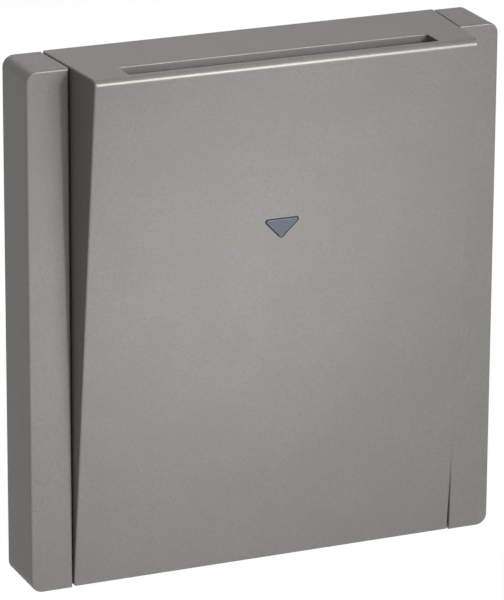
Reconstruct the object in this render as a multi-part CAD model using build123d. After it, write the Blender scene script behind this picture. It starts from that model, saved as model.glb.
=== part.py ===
from build123d import *

import os
from math import atan, cos, pi, sin

# Hotel key card switch for a round or square wall box.
# Frame: X to the viewer's right, +Y into the wall, +Z up. The origin is the middle of the
# outer frame, on the wall's surface. A depth d is measured off the wall towards the viewer,
# so Y = -d, and it is negative inside the wall box. All lengths are millimetres.

# Overall sizes
frame_w = 86.0
frame_h = 92.0
frame_d = 11.4
cover_top_d = 21.1
cover_bottom_d = 11.3
card_w = 53.98
draft = 0.066  # lean of the cover's sides and the rails' faces beside them, per unit of depth

# Shared clearances
cut = 1.0  # overrun of every cut
fit = 0.1  # between fixed pieces that meet
running = 0.05  # radial, between a pin and its bore
free = 0.25  # between a moving piece and what it passes

# Outer frame
rail_w = 7.45
frame_wall = 1.8
frame_corner_r = 2.0
edge_r = 0.35
ring_t = 1.8
ring_lap = 5.3
ring_gap = 0.4
rail_cells = 4
rail_rib_t = 1.2
peg_r = 1.4
peg_x = 24.0

# Front cover
cover_gap = 0.3
cover_lift = 0.2
cover_back = 0.2
front_wall = 1.8
top_wall = 2.0
side_wall = 1.8
brow_r = 1.2
slot_play = 2.02
slot_depth = 4.8
slot_corner_r = 0.4
slot_edge_r = 0.2
cover_rib_t = 1.2
cover_rib_h = 1.6
cover_rib_x = 13.0

# Card pocket and card guide
pocket_t = 5.3
guide_t = 1.5
tray_wall = 1.2
stop_z = -19.8
ear_t = 1.6
ear_h = 5.2
ear_high_z = 36.0
ear_low_z = -12.0
boss_r = 2.3
boss_sink = 0.4
foot_t = 1.4
foot_x = 22.5
foot_low = 22.0
foot_high = 33.0
hook_t = 1.2
hook_w = 5.0
hook_z = 8.5
hook_tail = 0.3

# Small screws of the card guide and of the lid
screw_r = 0.8
screw_head_r = 1.75
screw_head_t = 1.2
screw_bite = 4.4

# Indicator
lens_z = 16.1
lens_w = 6.6
lens_h = 3.4
lens_r = 0.3
lens_proud = 0.12
lens_edge_r = 0.1
lens_gap = 0.2
lens_flange = 1.0
lens_flange_t = 0.8
rod_r = 1.7
rod_boss_t = 1.1

# Support plate
plate_w = 68.0
plate_h = 80.0
plate_t = 1.2
plate_corner_r = 4.0
box_pitch = 60.0
fixing_w = 4.2
fixing_len = 7.0

# Insert housing, whose collar passes through the plate, and its lid
insert_w = 42.0
insert_depth = 22.2
insert_wall = 1.6
insert_corner_r = 2.5
collar_w = 28.8
collar_h = 36.8
collar_d = 2.6
collar_rim = 1.2
collar_undercut = 0.8
collar_play = 0.4
hook_room = 1.6
chamber_y = 6.2
lid_t = 2.0
lid_screw_inset = 2.5
web_t = 1.2
rivet_r = 1.1
rivet_head_r = 1.9
rivet_head_t = 0.7
rivet_len = 3.0
rivet_x = 18.8
rivet_z = 12.0

# Card lever
pivot_z = 9.0
pin_r = 1.0
hub_r = 1.65
lever_room = 0.75
lever_w = 8.9
lever_t = 1.7
lever_end_z = -11.0
nose_w = 6.4
nose_gap = 0.5
nose_tip_z = -6.6
nose_tip_t = 2.0
nose_tip_r = 0.9
nose_foot_z = -0.4
bump_r = 1.2
bump_rise = 1.0
lug_t = 2.0
window_low = -13.6
window_high = 1.0
well_low = -13.4
well_high = 11.4
well_y = 4.6

# Plunger
plunger_r = 2.4
plunger_boss_t = 1.5
plunger_boss_y = 1.6
flange_r = 3.6
flange_t = 2.6
tail_r = 1.5
tail_len = 8.1

# Contacts and strips
bridge_len = 30.0
bridge_h = 6.0
bridge_t = 1.0
contact_x = 12.4
contact_r = 1.8
contact_t = 0.5
contact_gap = 2.65
bridge_corner_r = 1.0
strip_t = 0.8
strip_w = 6.0
strip_low = -3.0
tongue_w = 4.4
tongue_len = 5.2
tongue_z = 12.5
switch_half_w = 16.2
switch_half_h = 5.4

# Plunger spring
spring_r = 2.3
spring_wire = 0.5
spring_turns = 6
spring_sides = 6
spring_ring_t = 0.9
spring_ring_h = 1.4

# Terminals
terminal_pitch = 13.0
cell_w = 7.8
cell_low = 6.8
cage_w = 6.8
cage_len = 4.4
cage_side = 0.9
cage_floor = 1.0
cage_roof = 1.4
cage_inside = 6.4
cage_offset = 0.5
entry_h = 4.5
entry_w = 5.2
clamp_r = 1.5
clamp_head_r = 2.2
clamp_head_t = 1.4
driver_slot_w = 0.6
driver_slot_t = 0.7

# Indicator board and what is on it
board_left = -6.4
board_right = 3.2
board_t = 1.0
board_front = 1.9
bay_room = 0.5
bay_low = 0.7
bay_y = 4.0
pad_left = -4.4
neutral_w = 5.6
pad_h = 1.9
lamp_r = 1.5
lamp_len = 1.0
lamp_base_r = 1.8
lamp_base_t = 0.5
lamp_gap = 0.26
resistor_r = 1.1
resistor_len = 5.4
resistor_x = -3.2
diode_r = 0.8
diode_len = 3.6
diode_x = 1.2
component_y = 6.4
leg_half = 0.3
leg_len = 1.0

# Worked out from the sizes above
full = frame_h + frame_w  # past everything, for cuts right through
inner_half = frame_w / 2 - rail_w
cover_half = inner_half - cover_gap
cover_inner = cover_half - side_wall
cover_top = frame_h / 2 + cover_lift
cover_bottom = cover_lift - frame_h / 2
lean = (cover_top_d - cover_bottom_d) / (cover_top - cover_bottom)
lean_angle = atan(lean)
ring_front = plate_t + ring_t
ring_top = cover_top - top_wall - ring_gap
ring_low = plate_h / 2 - ring_lap
peg_z = (ring_low + plate_h / 2) / 2
side_back = ring_front + fit
slot_half = (card_w + slot_play) / 2
slot_front = cover_top_d - front_wall
tray_half = slot_half + tray_wall
guide_top = cover_top - top_wall - fit
boss_x = cover_inner - boss_r + boss_sink
collar_half = collar_w / 2
neck_half = collar_half - collar_undercut
window_half = collar_half + hook_room
half_insert = insert_w / 2
inside_half = half_insert - insert_wall
chamber_end = insert_depth - lid_t
lid_screw_at = half_insert - lid_screw_inset
well_half = lever_w / 2 + free
bridge_y = chamber_y + fit + flange_t
strip_y = bridge_y + bridge_t + contact_t + contact_gap + contact_t
cage_y = strip_y + strip_t + cage_offset
screw_y = cage_y + cage_len / 2
entry_low = tongue_z - entry_h
pad_low = lens_z - board_t / 2
pad_top = lens_z + pad_h
lamp_tip = board_front + lamp_base_t + lamp_len + lamp_r
rod_back = lamp_tip + lamp_gap
terminal_places = (-terminal_pitch, 0, terminal_pitch)
ear_rows = (ear_high_z, ear_low_z)


def block(x, d, z):
    """Box between the limits x, the depths d off the wall and the heights z."""
    size = Box(x[1] - x[0], d[1] - d[0], z[1] - z[0])
    return Pos((x[0] + x[1]) / 2, -(d[0] + d[1]) / 2, (z[0] + z[1]) / 2) * size


def centred(half, at=0):
    """Limits half to each side of a place."""
    return (at - half, at + half)


def rod_x(radius, x, d, z):
    """Round bar along X between the limits x."""
    bar = Rot(0, 90, 0) * Cylinder(radius, x[1] - x[0])
    return Pos((x[0] + x[1]) / 2, -d, z) * bar


def rod_y(radius, x, d, z):
    """Round bar along Y between the depths d."""
    bar = Rot(90, 0, 0) * Cylinder(radius, d[1] - d[0])
    return Pos(x, -(d[0] + d[1]) / 2, z) * bar


def rod_z(radius, x, d, z):
    """Round bar along Z between the heights z."""
    return Pos(x, -d, (z[0] + z[1]) / 2) * Cylinder(radius, z[1] - z[0])


def side_face(points):
    """Flat face in the middle plane from points given as (depth, height)."""
    return make_face(Plane.YZ * Polyline(*[(-d, z) for d, z in points], close=True))


def prism(face, x):
    """A side face stretched between the limits x."""
    return Pos(x[0], 0, 0) * extrude(face, x[1] - x[0], dir=(1, 0, 0))


def both_sides(shape):
    """A shape and its mirror image across the middle plane."""
    return shape + mirror(shape, Plane.YZ)


def front_d(z):
    """Depth of the cover's leaning front face at height z."""
    return cover_top_d - lean * (cover_top - z)


def pocket_front_d(z):
    """Depth of the pocket's front, the back of the cover's front wall."""
    return front_d(z) - front_wall


def pocket_back_d(z):
    """Depth of the pocket's back, the face of the card guide."""
    return pocket_front_d(z) - pocket_t


def guide_back_d(z):
    """Depth of the card guide's back."""
    return pocket_back_d(z) - guide_t


def arm_front_d(z):
    """Depth of the lever arm's front at rest."""
    return guide_back_d(z) - lever_room


def side_half(half, depth):
    """Half width at a depth of leaning sides that are given at the frame's front."""
    return half + draft * (frame_d - depth)


def tapered(half, front):
    """Long block from behind the wall's surface to a depth, with leaning sides."""
    wide, narrow = side_half(half, -cut), side_half(half, front)
    corners = [(-wide, cut), (wide, cut), (narrow, -front), (-narrow, -front)]
    face = make_face(Polyline(*corners, close=True))
    return Pos(0, 0, -full) * extrude(face, 2 * full, dir=(0, 0, 1))


def sloped(back, front, low, high, x):
    """Leaning slab between two depth lines, two heights and the limits x."""
    corners = [(back(low), low), (front(low), low), (front(high), high), (back(high), high)]
    return prism(side_face(corners), x)


pivot_d = arm_front_d(pivot_z) - hub_r
bump_d = arm_front_d(0) - lever_t - bump_rise
plunger_front = bump_d - running


def rail_cavities():
    """Open cells in the back of one rail, with cross ribs between them."""
    low, high = frame_wall - frame_h / 2, frame_h / 2 - frame_wall
    pitch = (high - low + rail_rib_t) / rail_cells
    across = (side_half(inner_half, 0) + frame_wall, frame_w / 2 - frame_wall)
    cells = [
        block(across, (-cut, frame_d - frame_wall), (z, z + pitch - rail_rib_t))
        for z in (low + pitch * i for i in range(rail_cells))
    ]
    return Compound(cells)


def make_outer_frame():
    """Two hollow side rails, joined behind the cover by bars with locating pegs."""
    outline = RectangleRounded(frame_w, frame_h, frame_corner_r)
    body = extrude(Plane.XZ * outline, frame_d)
    body -= tapered(inner_half, frame_d + cut)
    body = fillet(body.edges().group_by(Axis.Y)[0], edge_r)
    for cell in rail_cavities().solids():
        body -= both_sides(cell)
    for side in (-1, 1):
        heights = sorted((side * ring_low, side * ring_top))
        body += block(centred(side_half(inner_half, 0)), (plate_t, ring_front), heights)
        for x in (-peg_x, peg_x):
            body += rod_y(peg_r, x, (0, ring_front), side * peg_z)
    return body


def cover_shell():
    """Wedge-shaped shell of the cover, rounded and hollow, open at the back."""
    corners = [
        (cover_back, cover_bottom),
        (cover_bottom_d, cover_bottom),
        (cover_top_d, cover_top),
        (cover_back, cover_top),
    ]
    profile = side_face(corners)
    brow = profile.vertices().sort_by(Axis.Y)[0]
    profile = fillet(brow, brow_r)
    shell = prism(profile, centred(full)) & tapered(cover_half, cover_top_d + cut)
    ends = shell.faces().sort_by(Axis.X)
    shell = fillet(ends[0].edges() + ends[-1].edges(), edge_r)
    low, high = cover_bottom + side_wall, cover_top - top_wall
    hollow = [
        (-cut, low),
        (pocket_front_d(low), low),
        (pocket_front_d(high), high),
        (-cut, high),
    ]
    shell -= prism(side_face(hollow), centred(full)) & tapered(cover_inner, cover_top_d)
    return shell - block(centred(full), (-cut, side_back), (low, high))


def card_slot():
    """Cutter for the slot in the cover's top, with rounded corners."""
    outline = RectangleRounded(2 * slot_half, slot_depth, slot_corner_r)
    place = Pos(0, slot_depth / 2 - slot_front, cover_top - top_wall - cut)
    return place * extrude(outline, top_wall + 2 * cut)


def guide_boss(z):
    """Boss behind the cover's front for one of the card guide's screws."""
    ear_front = pocket_back_d(z)
    reach = (ear_front + fit, pocket_front_d(z) + front_wall / 2)
    pilot = (ear_front - cut, ear_front + screw_bite + fit)
    return rod_y(boss_r, boss_x, reach, z), rod_y(screw_r + running, boss_x, pilot, z)


def lens_plane(depth):
    """Plane in line with the cover's front, a depth behind it, at the lens."""
    out = Vector(0, -cos(lean_angle), -sin(lean_angle))
    middle = Vector(0, -front_d(lens_z), lens_z)
    return Plane(middle - out * depth, x_dir=(1, 0, 0), z_dir=out)


def lens_outline(grow):
    """Triangle that points down, with rounded corners, grown by an amount."""
    points = [(-lens_w / 2, lens_h / 2), (lens_w / 2, lens_h / 2), (0, -lens_h / 2)]
    face = make_face(Polyline(*points, close=True))
    face = fillet(face.vertices(), lens_r)
    return offset(face, grow) if grow else face


def lens_layer(grow, inner, outer):
    """Lens outline made solid between two depths behind the front."""
    return extrude(lens_plane(inner) * lens_outline(grow), inner - outer)


def make_front_cover():
    """Cover with its card slot, lens window, screw bosses and stiffening ribs."""
    cover = cover_shell() - card_slot()
    mouth = cover.edges().group_by(Axis.Z)[-1].filter_by(is_slot_edge)
    cover = fillet(mouth, slot_edge_r)
    wall = front_wall * cos(lean_angle)
    cover -= lens_layer(lens_gap, wall + cut, -cut)
    cover -= lens_layer(lens_flange + running, wall + cut, wall - lens_flange_t - running)
    for z in ear_rows:
        boss, pilot = guide_boss(z)
        cover = cover + both_sides(boss) - both_sides(pilot)
    rib_low, rib_high = cover_bottom + side_wall / 2, stop_z - tray_wall - fit
    rib = sloped(rib_back_d, rib_front_d, rib_low, rib_high, centred(cover_rib_t / 2, cover_rib_x))
    return cover + both_sides(rib)


def is_slot_edge(edge):
    """True for an edge of the card slot's mouth."""
    place = edge.center()
    return abs(place.X) < slot_half + fit and -place.Y > slot_front - slot_depth - fit


def rib_front_d(z):
    """Depth inside the cover's front wall where its ribs start."""
    return pocket_front_d(z) + front_wall / 2


def rib_back_d(z):
    """Depth that the cover's ribs reach back to."""
    return pocket_front_d(z) - cover_rib_h


def tray_front_d(z):
    """Depth of the tray walls' front edges."""
    return pocket_front_d(z) - fit


def guide_ear(z):
    """Ear beside the tray with a screw hole."""
    front = pocket_back_d(z)
    x = (tray_half - tray_wall, side_half(cover_inner, front) - fit)
    ear = block(x, (front - ear_t, front), centred(ear_h / 2, z))
    return ear - rod_y(screw_r + fit, boss_x, (front - ear_t - cut, front + cut), z)


def guide_hook(z):
    """Snap hook that grips the rim of the insert's collar."""
    inner = collar_half + 2 * fit
    arm = block((inner, inner + hook_t), (hook_tail, guide_back_d(z) + guide_t / 2), centred(hook_w / 2, z))
    barb = block((neck_half + fit, inner + fit), (hook_tail, collar_d - collar_rim - fit), centred(hook_w / 2, z))
    return arm + barb


def foot_back_d(z):
    """Depth of the feet's ends, just in front of the support plate."""
    return plate_t + fit


def guide_middle_d(z):
    """Depth of the middle of the card guide's wall."""
    return guide_back_d(z) + guide_t / 2


def make_card_guide():
    """Tray behind the cover: leaning back wall, side walls, card stop, ears, hooks and feet."""
    low = stop_z - tray_wall
    tray = sloped(guide_back_d, pocket_back_d, low, guide_top, centred(tray_half))
    wall = (slot_half, tray_half)
    tray += both_sides(sloped(guide_middle_d, tray_front_d, low, guide_top, wall))
    tray += sloped(guide_middle_d, tray_front_d, low, stop_z, centred(tray_half))
    for z in ear_rows:
        tray += both_sides(guide_ear(z))
    for z in (-hook_z, hook_z):
        tray += both_sides(guide_hook(z))
    foot = sloped(foot_back_d, guide_middle_d, foot_low, foot_high, centred(foot_t / 2, foot_x))
    tray += both_sides(foot)
    nose_half = nose_w / 2 + free
    tray -= block(centred(nose_half), (-cut, pocket_back_d(window_high) + fit), (window_low, window_high))
    tray += rod_y(rod_r + fit + rod_boss_t, 0, (rod_back, guide_middle_d(lens_z)), lens_z)
    return tray - rod_y(rod_r + running, 0, (rod_back - cut, pocket_front_d(lens_z)), lens_z)


def small_screw(x, z, seat, length):
    """Screw along Y: its head lies behind the depth seat and its shank runs forward."""
    screw = rod_y(screw_head_r, x, (seat - screw_head_t, seat), z)
    screw += rod_y(screw_r, x, (seat - screw_head_t / 2, seat + length), z)
    recess = (seat - screw_head_t - cut, seat - screw_head_t / 2)
    for wide, high in ((screw_head_r / 2, driver_slot_w / 2), (driver_slot_w / 2, screw_head_r / 2)):
        screw -= block(centred(wide, x), recess, centred(high, z))
    return screw


def make_guide_screws():
    """The four screws that hold the card guide to the cover."""
    places = [(x, z) for x in (-boss_x, boss_x) for z in ear_rows]
    length = ear_t + screw_bite
    return Compound([small_screw(x, z, pocket_back_d(z) - ear_t, length) for x, z in places])


def make_indicator_lens():
    """Triangular lens with a flange behind the cover's front wall."""
    wall = front_wall * cos(lean_angle)
    top = lens_layer(0, wall - lens_flange_t, -lens_proud)
    top = fillet(top.faces().sort_by(Axis.Y)[0].edges(), lens_edge_r)
    return top + lens_layer(lens_flange, wall - running, wall - lens_flange_t)


def make_light_guide():
    """Clear rod that ends level with the card guide's face."""
    front = pocket_back_d(lens_z)
    rod = rod_y(rod_r, 0, (rod_back, front + rod_r), lens_z)
    ahead = sloped(pocket_back_d, front_d, lens_z - 2 * rod_r, lens_z + 2 * rod_r, centred(2 * rod_r))
    return rod - ahead


def make_support_plate():
    """Steel plate with the insert's window, box fixing slots, peg holes and rivet holes."""
    plate = extrude(Plane.XZ * RectangleRounded(plate_w, plate_h, plate_corner_r), plate_t)
    through = (-cut, plate_t + cut)
    plate -= block(centred(window_half), through, centred(collar_h / 2 + collar_play))
    slot = Plane.XZ.offset(-cut) * SlotOverall(fixing_len, fixing_w)
    slot = extrude(slot, plate_t + 2 * cut)
    half = box_pitch / 2
    for side in (-half, half):
        plate -= Pos(side, 0, 0) * slot
        plate -= Pos(0, 0, side) * Rot(0, 90, 0) * slot
    for x, z, radius in plate_holes():
        plate -= rod_y(radius, x, through, z)
    return plate


def plate_holes():
    """Places and radii of the support plate's peg holes and rivet holes."""
    pegs = [(x, z, peg_r + fit) for x in (-peg_x, peg_x) for z in (-peg_z, peg_z)]
    return pegs + [(x, z, rivet_r + running) for x, z in rivet_places()]


def rivet_places():
    """Places of the four rivets beside the plate's window."""
    return [(x, z) for x in (-rivet_x, rivet_x) for z in (-rivet_z, rivet_z)]


def make_plate_rivets():
    """The four rivets that join the plate to the insert."""
    rivets = []
    for x, z in rivet_places():
        head = rod_y(rivet_head_r, x, (plate_t, plate_t + rivet_head_t), z)
        head = chamfer(head.edges().group_by(Axis.Y)[0], rivet_head_t / 2)
        rivets.append(head + rod_y(rivet_r, x, (-rivet_len, plate_t), z))
    return Compound(rivets)


def insert_block(front, back):
    """Rounded square block of the insert between two places behind the wall."""
    outline = Plane.XZ.offset(-back) * RectangleRounded(insert_w, insert_w, insert_corner_r)
    return extrude(outline, back - front)


def lever_lugs():
    """Pair of lugs on the collar that hold the lever's pin."""
    x = (well_half, well_half + lug_t)
    lug = block(x, (collar_d - fit, pivot_d), centred(hub_r, pivot_z)) + rod_x(hub_r, x, pivot_d, pivot_z)
    return both_sides(lug)


def housing_cavities():
    """Spaces moulded into the housing: switch chamber, terminal cells and spare bays."""
    end = chamber_end + cut
    spaces = [block(centred(switch_half_w), (-end, -chamber_y), centred(switch_half_h))]
    for x in terminal_places:
        cell = (cell_low, inside_half)
        spaces.append(block(centred(cell_w / 2, x), (-end, fit - strip_y), cell))
        head = (inside_half - cut, half_insert + cut)
        spaces.append(rod_z(clamp_head_r + fit, x, -screw_y, head))
    spare = (web_t / 2, switch_half_w)
    low = (-inside_half, -cell_low)
    spaces.append(both_sides(block(spare, (-end, -chamber_y), low)))
    return spaces


def strip_slots():
    """Slots for the strips between the switch chamber, the cells and the board."""
    depth = (-strip_y - strip_t - fit, fit - strip_y)
    up = (switch_half_h - cut, cell_low + cut)
    side = block(centred(strip_w / 2 + fit, terminal_pitch), depth, up)
    across = (cell_w / 2 - terminal_pitch - cut, cut - cell_w / 2)
    arm = block(across, depth, (pad_low - fit, pad_top + fit))
    return [both_sides(side), arm]


def board_space():
    """Slot, lamp recess and component bay for the indicator board."""
    across = (board_left - fit, board_right + fit)
    slot = block(across, (-strip_y, collar_d + cut), centred(board_t / 2 + fit, lens_z))
    recess = rod_y(lamp_base_r + fit, 0, (board_front - fit, collar_d + cut), lens_z)
    wide = (board_left - bay_room, board_right + bay_room)
    bay = block(wide, (-strip_y, -bay_y), (lens_z - bay_low, inside_half))
    return [slot, recess, bay]


def lid_screw_places():
    """Places of the lid's four corner screws."""
    return [(x, z) for x in (-lid_screw_at, lid_screw_at) for z in (-lid_screw_at, lid_screw_at)]


def make_insert_housing():
    """Housing behind the plate, with its collar, lever well, chambers and terminal cells."""
    body = insert_block(0, chamber_end)
    rim = collar_d - collar_rim
    body += block(centred(neck_half), (-cut, rim), centred(collar_h / 2))
    body += block(centred(collar_half), (rim, collar_d), centred(collar_h / 2))
    body += lever_lugs()
    body -= block(centred(well_half), (-well_y, collar_d + cut), (well_low, well_high))
    body += rod_y(plunger_r + running + plunger_boss_t, 0, (-well_y - fit, -plunger_boss_y), 0)
    body -= rod_y(plunger_r + running, 0, (-chamber_y - cut, cut), 0)
    body -= rod_x(pin_r + running, centred(well_half + lug_t + cut), pivot_d, pivot_z)
    for space in housing_cavities() + strip_slots() + board_space():
        body -= space
    for x, z in rivet_places():
        body -= rod_y(rivet_r + running, x, (-rivet_len - fit, cut), z)
    for x, z in lid_screw_places():
        body -= rod_y(screw_r + running, x, (-chamber_end - cut, screw_bite + fit - chamber_end), z)
    return body


def make_insert_lid():
    """Back lid with wire entries, counterbored corner holes and a ring that seats the spring."""
    lid = insert_block(chamber_end, insert_depth)
    through = (-insert_depth - cut, cut - chamber_end)
    for x in terminal_places:
        lid -= block(centred(entry_w / 2, x), through, (entry_low, tongue_z))
    for x, z in lid_screw_places():
        lid -= rod_y(screw_r + fit, x, through, z)
        lid -= rod_y(screw_head_r + fit, x, (-insert_depth - cut, screw_head_t - insert_depth), z)
    inside = spring_r + spring_wire / 2 + fit
    reach = (-chamber_end, spring_ring_h - chamber_end)
    ring = rod_y(inside + spring_ring_t, 0, reach, 0) - rod_y(inside, 0, reach, 0)
    return lid + ring


def make_lid_screws():
    """The four screws that close the insert."""
    seat = screw_head_t - insert_depth
    length = lid_t - screw_head_t + screw_bite
    return Compound([small_screw(x, z, seat, length) for x, z in lid_screw_places()])


def arm_back_d(z):
    """Depth of the lever arm's back at rest."""
    return arm_front_d(z) - lever_t


def nose_tip_d(z):
    """Depth of the lever's nose at rest, just short of the pocket's front."""
    return pocket_front_d(z) - nose_gap


def make_card_lever():
    """Lever that hangs from its hub: arm, rounded nose in the pocket and pushing bump."""
    lever = sloped(arm_back_d, arm_front_d, lever_end_z, pivot_z, centred(lever_w / 2))
    lever += rod_x(hub_r, centred(lever_w / 2), pivot_d, pivot_z)
    tip_low_z = nose_tip_z - nose_tip_t
    corners = [
        (arm_front_d(nose_foot_z) - lever_t / 2, nose_foot_z),
        (nose_tip_d(nose_tip_z), nose_tip_z),
        (nose_tip_d(tip_low_z), tip_low_z),
        (arm_front_d(lever_end_z) - lever_t / 2, lever_end_z),
    ]
    profile = side_face(corners)
    profile = fillet(profile.vertices().sort_by(Axis.Y)[:2], nose_tip_r)
    lever += prism(profile, centred(nose_w / 2))
    lever += rod_x(bump_r, centred(nose_w / 2), bump_d + bump_r, 0)
    return lever - rod_x(pin_r + running, centred(lever_w), pivot_d, pivot_z)


def make_lever_pin():
    """Pin that the lever turns on, held in the housing's lugs."""
    return rod_x(pin_r, centred(well_half + lug_t), pivot_d, pivot_z)


def make_plunger():
    """Stepped plunger: front rod in its bore, flange that carries the bridge, and tail."""
    front = rod_y(plunger_r, 0, (-chamber_y - fit, plunger_front), 0)
    front = chamfer(front.edges().group_by(Axis.Y)[0], plunger_r / 4)
    flange = rod_y(flange_r, 0, (-bridge_y, -chamber_y - fit), 0)
    return front + flange + rod_y(tail_r, 0, (-bridge_y - tail_len, -bridge_y), 0)


def contact_rivet(x, sheet, way):
    """Contact rivet through a sheet: its head lies on the side way, its tail on the other."""
    low, high = sheet
    head = (high, high + contact_t) if way > 0 else (low - contact_t, low)
    tail = (low - contact_t / 2, high) if way > 0 else (low, high + contact_t / 2)
    head_bar = rod_y(contact_r, x, (-head[1], -head[0]), 0)
    return head_bar + rod_y(contact_r / 2, x, (-tail[1], -tail[0]), 0)


def rivet_hole(x, sheet):
    """Cutter for a contact rivet's hole through a sheet."""
    return rod_y(contact_r / 2 + running, x, (-sheet[1] - cut, cut - sheet[0]), 0)


def make_moving_contact():
    """Brass bridge on the plunger's tail."""
    bridge = block(centred(bridge_len / 2), (-bridge_y - bridge_t, -bridge_y), centred(bridge_h / 2))
    bridge = fillet(bridge.edges().filter_by(Axis.Y), bridge_corner_r)
    for x in (-contact_x, contact_x):
        bridge -= rivet_hole(x, (bridge_y, bridge_y + bridge_t))
    return bridge - rod_y(tail_r + running, 0, (-bridge_y - bridge_t - cut, cut - bridge_y), 0)


def make_moving_rivets():
    """Two contact rivets on the bridge."""
    sheet = (bridge_y, bridge_y + bridge_t)
    return Compound([contact_rivet(x, sheet, 1) for x in (-contact_x, contact_x)])


def make_fixed_rivets():
    """Two contact rivets on the line and load strips."""
    sheet = (strip_y, strip_y + strip_t)
    return Compound([contact_rivet(x, sheet, -1) for x in (-contact_x, contact_x)])


def spring_point(turn):
    """Point on the spring's centre line after a number of turns."""
    low = bridge_y + bridge_t + spring_wire / 2
    high = chamber_end - spring_wire / 2
    angle = 2 * pi * turn
    return Vector(spring_r * cos(angle), low + (high - low) * turn / spring_turns, spring_r * sin(angle))


def make_plunger_spring():
    """Compression spring round the plunger's tail: half turns swept as one tube."""
    halves = [i / 2 for i in range(2 * spring_turns)]
    arcs = [ThreePointArc(*[spring_point(t + share / 4) for share in range(3)]) for t in halves]
    path = Wire(arcs)
    start = Plane(path @ 0, z_dir=path % 0)
    return sweep(start * RegularPolygon(spring_wire / 2, spring_sides), path=path)


def print_spring_gap():
    """Print the least gap between neighbouring turns, measured on points."""
    steps = [i / 24 for i in range(24 * spring_turns + 1)]
    points = [spring_point(t) for t in steps]
    pairs = ((a, b) for i, a in enumerate(points) for b in points[i + 12 :])
    print("least gap between the spring's turns:", min((a - b).length for a, b in pairs) - spring_wire)


def strip_block(x, z):
    """Piece of strip metal between the limits x and z, in the strips' plane."""
    return block(x, (-strip_y - strip_t, -strip_y), z)


def tongue(x):
    """Tongue of a strip that reaches back through its cage clamp."""
    depth = (-strip_y - strip_t - tongue_len, -strip_y)
    return block(centred(tongue_w / 2, x), depth, (tongue_z, tongue_z + strip_t))


def side_strip(x):
    """Strip from one fixed contact up to its terminal's tongue."""
    strip = strip_block(centred(strip_w / 2, x), (strip_low, tongue_z + strip_t)) + tongue(x)
    side = contact_x if x > 0 else -contact_x
    return strip - rivet_hole(side, (strip_y, strip_y + strip_t))


def make_line_strip():
    """Line strip, with an arm to the indicator board's left pad."""
    x = tongue_w / 2 + fit - terminal_pitch
    beside = (x, cell_w / 2 - fit - terminal_pitch)
    post = strip_block(beside, (tongue_z - strip_w / 2, pad_top))
    return side_strip(-terminal_pitch) + post + strip_block((x, pad_left), (pad_low, pad_top))


def make_load_strip():
    """Load strip."""
    return side_strip(terminal_pitch)


def make_neutral_strip():
    """Neutral strip between its tongue and the indicator board's right pad."""
    return strip_block(centred(neutral_w / 2), (tongue_z, pad_top)) + tongue(0)


def make_clamp(x):
    """Cage clamp that its screw lifts to press a wire up against the tongue."""
    depth = (-cage_y - cage_len, -cage_y)
    inside_top = entry_low + cage_inside
    cage = block(centred(cage_w / 2, x), depth, (entry_low - cage_floor, inside_top + cage_roof))
    opening = (depth[0] - cut, depth[1] + cut)
    cage -= block(centred(cage_w / 2 - cage_side, x), opening, (entry_low, inside_top))
    return cage - rod_z(clamp_r + running, x, -screw_y, (inside_top - cut, inside_top + cage_roof + cut))


def make_terminal_screw(x):
    """Terminal screw with a slotted head, flush in the housing's top."""
    under_head = half_insert - clamp_head_t
    screw = rod_z(clamp_r, x, -screw_y, (tongue_z + strip_t + fit, under_head))
    screw += rod_z(clamp_head_r, x, -screw_y, (under_head, half_insert))
    slot = (half_insert - driver_slot_t, half_insert + cut)
    return screw - block(centred(clamp_head_r + cut, x), centred(driver_slot_w / 2, -screw_y), slot)


def make_led_board():
    """Indicator board that runs from the collar's front back to the strips."""
    return block((board_left, board_right), (fit - strip_y, board_front), centred(board_t / 2, lens_z))


def make_pilot_led():
    """Round lamp on the board's front edge, behind the light guide."""
    base = board_front + lamp_base_t
    lamp = rod_y(lamp_base_r, 0, (board_front, base), lens_z)
    lamp += rod_y(lamp_r, 0, (base, base + lamp_len), lens_z)
    return lamp + Pos(0, -base - lamp_len, lens_z) * Sphere(lamp_r)


def leaded_part(radius, length, x):
    """Round component that lies along the board on two bent legs."""
    top = lens_z + board_t / 2
    axis = top + running + radius
    front = -component_y - (resistor_len - length) / 2
    back = front - length
    body = rod_y(radius, x, (back, front), axis)
    across = centred(leg_half, x)
    body += block(across, (back - leg_len, front + leg_len), centred(leg_half, axis))
    for foot in (back - leg_len, front + leg_len):
        body += block(across, centred(leg_half, foot), (top, axis + leg_half))
    return body


def make_dropper_resistor():
    """Dropper resistor on the indicator board."""
    return leaded_part(resistor_r, resistor_len, resistor_x)


def make_rectifier_diode():
    """Rectifier diode on the indicator board."""
    return leaded_part(diode_r, diode_len, diode_x)


def all_parts():
    """Every node's name with its shape."""
    parts = {
        "outer_frame": make_outer_frame(),
        "front_cover": make_front_cover(),
        "indicator_lens": make_indicator_lens(),
        "card_guide": make_card_guide(),
        "guide_screws": make_guide_screws(),
        "light_guide": make_light_guide(),
        "support_plate": make_support_plate(),
        "plate_rivets": make_plate_rivets(),
        "insert_housing": make_insert_housing(),
        "insert_lid": make_insert_lid(),
        "lid_screws": make_lid_screws(),
        "card_lever": make_card_lever(),
        "lever_pin": make_lever_pin(),
        "plunger": make_plunger(),
        "plunger_spring": make_plunger_spring(),
        "moving_contact": make_moving_contact(),
        "moving_rivets": make_moving_rivets(),
        "fixed_rivets": make_fixed_rivets(),
        "line_strip": make_line_strip(),
        "load_strip": make_load_strip(),
        "neutral_strip": make_neutral_strip(),
        "led_board": make_led_board(),
        "pilot_led": make_pilot_led(),
        "dropper_resistor": make_dropper_resistor(),
        "rectifier_diode": make_rectifier_diode(),
    }
    for name, x in zip(("line", "neutral", "load"), terminal_places):
        parts[name + "_clamp"] = make_clamp(x)
        parts[name + "_screw"] = make_terminal_screw(x)
    return parts


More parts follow.
